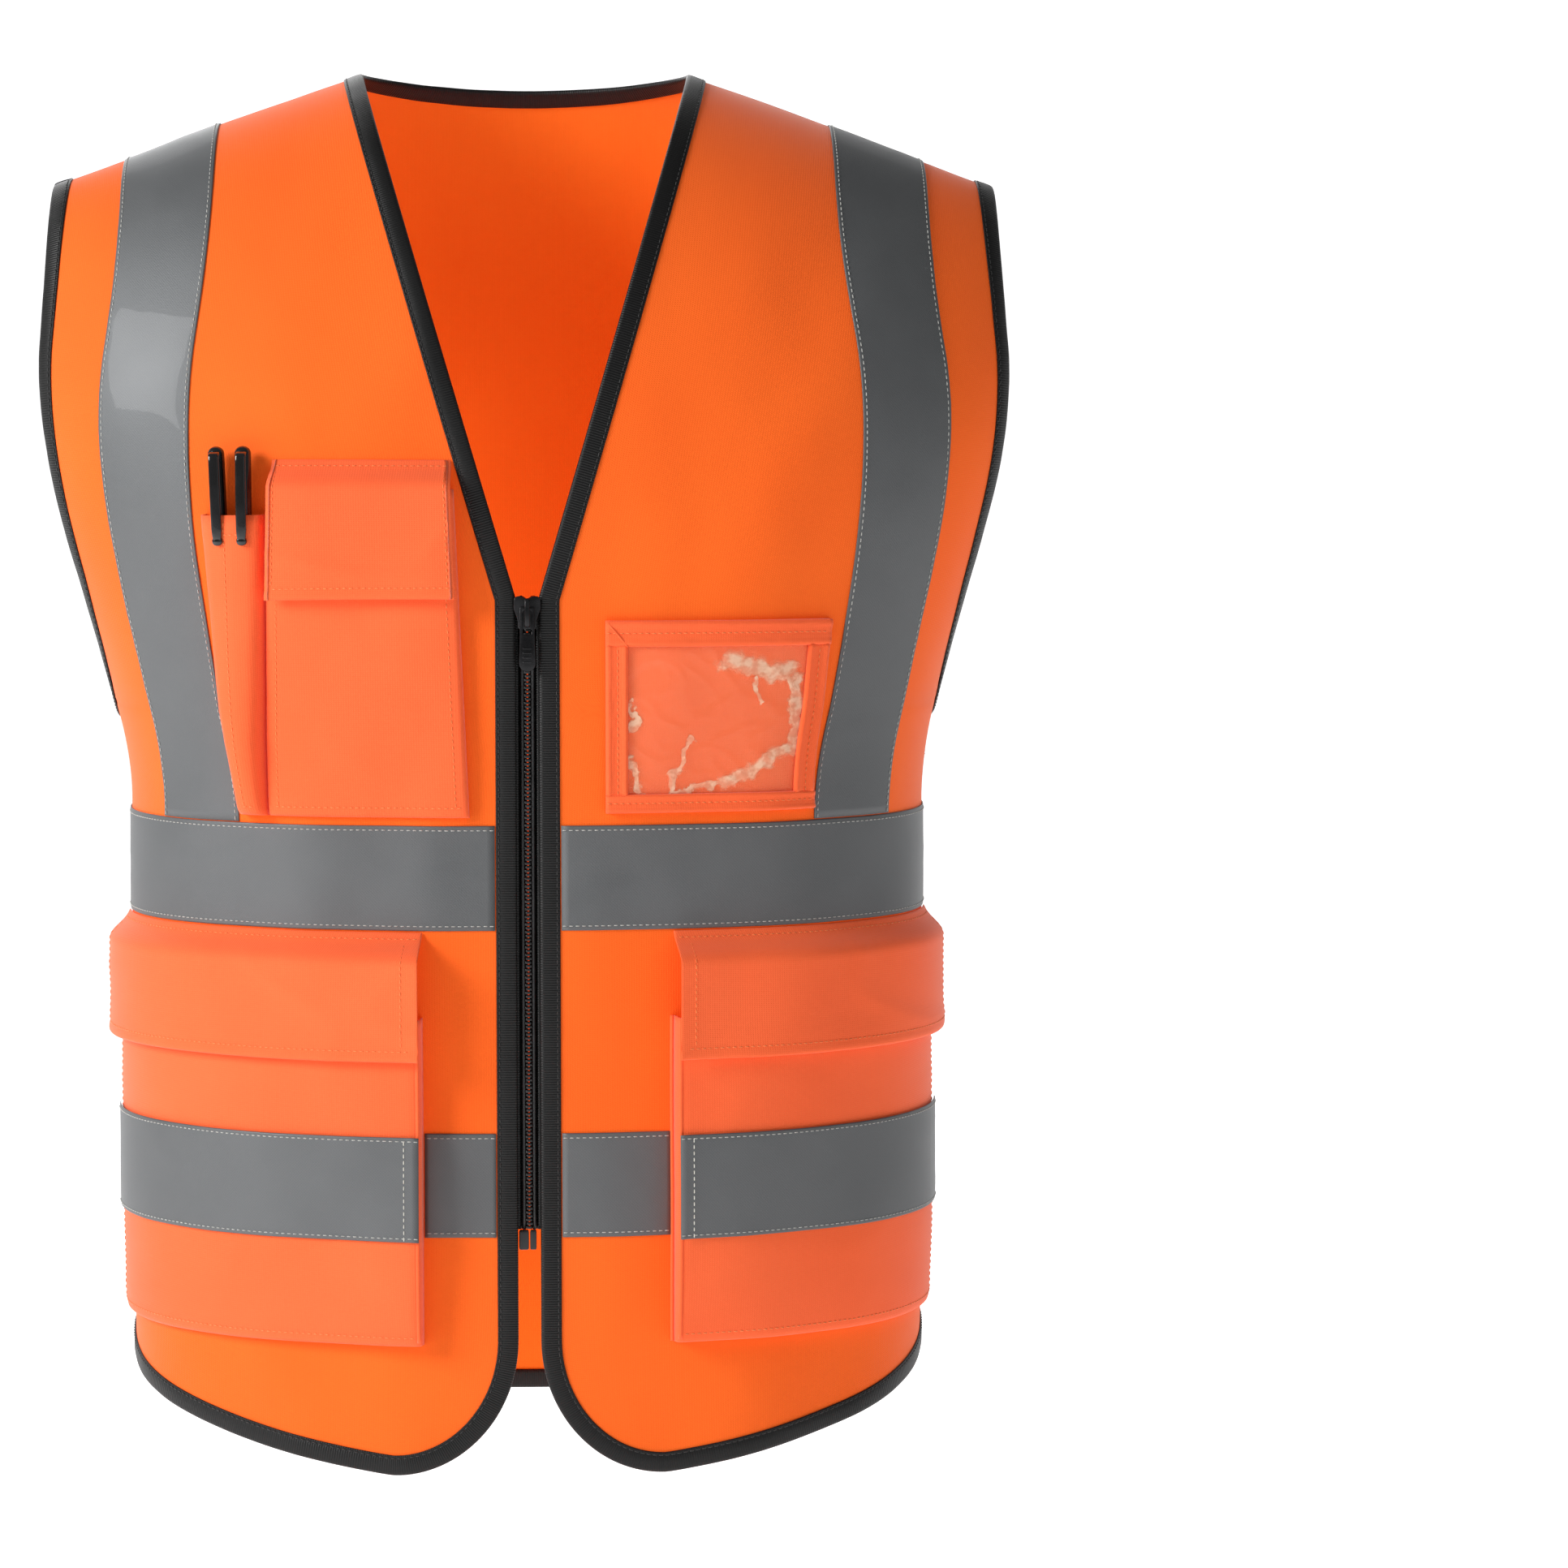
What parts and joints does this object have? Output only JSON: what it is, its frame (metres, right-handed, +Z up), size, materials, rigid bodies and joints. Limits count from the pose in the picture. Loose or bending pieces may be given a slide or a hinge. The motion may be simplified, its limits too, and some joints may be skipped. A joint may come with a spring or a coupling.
{
  "type": "high-visibility safety vest",
  "caption": "Sleeveless zip-front safety vest in fluorescent orange cloth with reflective tape, bound edges, flapped pockets, a badge pocket and a pen pocket.",
  "frame": {"origin": "midway between the middles of the two shoulder seams, where the vest rests on its wearer", "axes": "+Z up, the front and its zip face -Y, the wearer's left is +X"},
  "size_m": [0.4808, 0.2724, 0.6921],
  "materials": {
    "orange_cloth": "matt knitted polyester, fluorescent orange",
    "pocket_cloth": "matt knitted polyester, fluorescent orange, a second layer",
    "reflective_tape": "grey retroreflective tape, satin",
    "black_binding": "black woven binding, slightly glossy",
    "black_plastic": "moulded black plastic",
    "clear_sheet": "clear soft vinyl sheet",
    "zip_metal": "black painted die-cast zinc"
  },
  "bodies": {
    "vest": {"back_panel": "orange_cloth", "back_upper_band": "reflective_tape", "back_lower_band": "reflective_tape", "back_shoulder_tape_right": "reflective_tape", "back_shoulder_tape_left": "reflective_tape", "neck_binding": "black_binding", "hem_binding_back": "black_binding", "armhole_binding_back_right": "black_binding", "armhole_binding_back_left": "black_binding"},
    "front_right": {"front_panel_right": "orange_cloth", "front_upper_band_right": "reflective_tape", "front_lower_band_right": "reflective_tape", "front_shoulder_tape_right": "reflective_tape", "front_binding_right": "black_binding", "armhole_binding_front_right": "black_binding", "zipper_tape_right": "black_binding", "zipper_teeth_right": "black_plastic", "zipper_top_stop_right": "zip_metal", "zipper_retainer_box": "black_plastic", "chest_pocket": "pocket_cloth", "pen_pocket": "pocket_cloth", "chest_pocket_loop_patch": "pocket_cloth", "lower_pocket_right": "pocket_cloth", "pocket_band_right": "reflective_tape", "lower_pocket_right_loop_patch": "pocket_cloth"},
    "front_left": {"front_panel_left": "orange_cloth", "front_upper_band_left": "reflective_tape", "front_lower_band_left": "reflective_tape", "front_shoulder_tape_left": "reflective_tape", "front_binding_left": "black_binding", "armhole_binding_front_left": "black_binding", "zipper_tape_left": "black_binding", "zipper_teeth_left": "black_plastic", "zipper_top_stop_left": "zip_metal", "zipper_pin": "black_plastic", "badge_pocket_backing": "pocket_cloth", "badge_window": "clear_sheet", "badge_frame_top": "pocket_cloth", "badge_frame_bottom": "pocket_cloth", "badge_frame_inner": "pocket_cloth", "badge_frame_outer": "pocket_cloth", "lower_pocket_left": "pocket_cloth", "pocket_band_left": "reflective_tape", "lower_pocket_left_loop_patch": "pocket_cloth"},
    "slider": {"zipper_slider": "zip_metal"},
    "pull_tab": {"zipper_pull_tab": "zip_metal"},
    "chest_flap": {"chest_pocket_flap": "pocket_cloth", "chest_pocket_hook_patch": "pocket_cloth"},
    "lower_flap_right": {"lower_pocket_flap_right": "pocket_cloth", "lower_pocket_right_hook_patch": "pocket_cloth"},
    "lower_flap_left": {"lower_pocket_flap_left": "pocket_cloth", "lower_pocket_left_hook_patch": "pocket_cloth"},
    "pen_1": {"pen_1_barrel": "black_plastic", "pen_1_cap": "black_plastic"},
    "pen_2": {"pen_2_barrel": "black_plastic", "pen_2_cap": "black_plastic"}
  },
  "joints": [
    {"name": "front_right_swing", "type": "hinge", "parent": "vest", "child": "front_right", "pos_m": [-0.208, 0, -0.61], "axis": [0.0583, 0, -0.9983], "range_deg": [0, 25]},
    {"name": "front_left_swing", "type": "hinge", "parent": "vest", "child": "front_left", "pos_m": [0.208, 0, -0.61], "axis": [0.0583, 0, 0.9983], "range_deg": [0, 25]},
    {"name": "zipper_travel", "type": "slide", "parent": "front_right", "child": "slider", "axis": [0, 0, -1], "range_m": [0, 0.2905]},
    {"name": "pull_tab_swing", "type": "hinge", "parent": "slider", "child": "pull_tab", "pos_m": [0, -0.1455, -0.233], "axis": [-1, 0, 0], "range_deg": [0, 170]},
    {"name": "chest_flap_lift", "type": "hinge", "parent": "front_right", "child": "chest_flap", "pos_m": [-0.07946, -0.1365, -0.16175], "axis": [-0.9932, 0.1164, 0], "range_deg": [0, 120]},
    {"name": "lower_flap_right_lift", "type": "hinge", "parent": "front_right", "child": "lower_flap_right", "pos_m": [-0.14958, -0.10835, -0.3896], "axis": [-0.7783, 0.6279, 0], "range_deg": [0, 120]},
    {"name": "lower_flap_left_lift", "type": "hinge", "parent": "front_left", "child": "lower_flap_left", "pos_m": [0.15756, -0.10215, -0.3896], "axis": [-0.7416, -0.6709, 0], "range_deg": [0, 120]},
    {"name": "pen_1_draw", "type": "slide", "parent": "front_right", "child": "pen_1", "axis": [-0.046, -0.0078, 0.9989], "range_m": [0, 0.115]},
    {"name": "pen_2_draw", "type": "slide", "parent": "front_right", "child": "pen_2", "axis": [-0.0105, -0.0058, 0.9999], "range_m": [0, 0.115]}
  ],
  "couplings": [
    {"joint": "front_left_swing", "follows": "front_right_swing", "ratio": 1},
    {"joint": "zipper_travel", "follows": "front_right_swing", "m_per_rad": 0.66463}
  ]
}
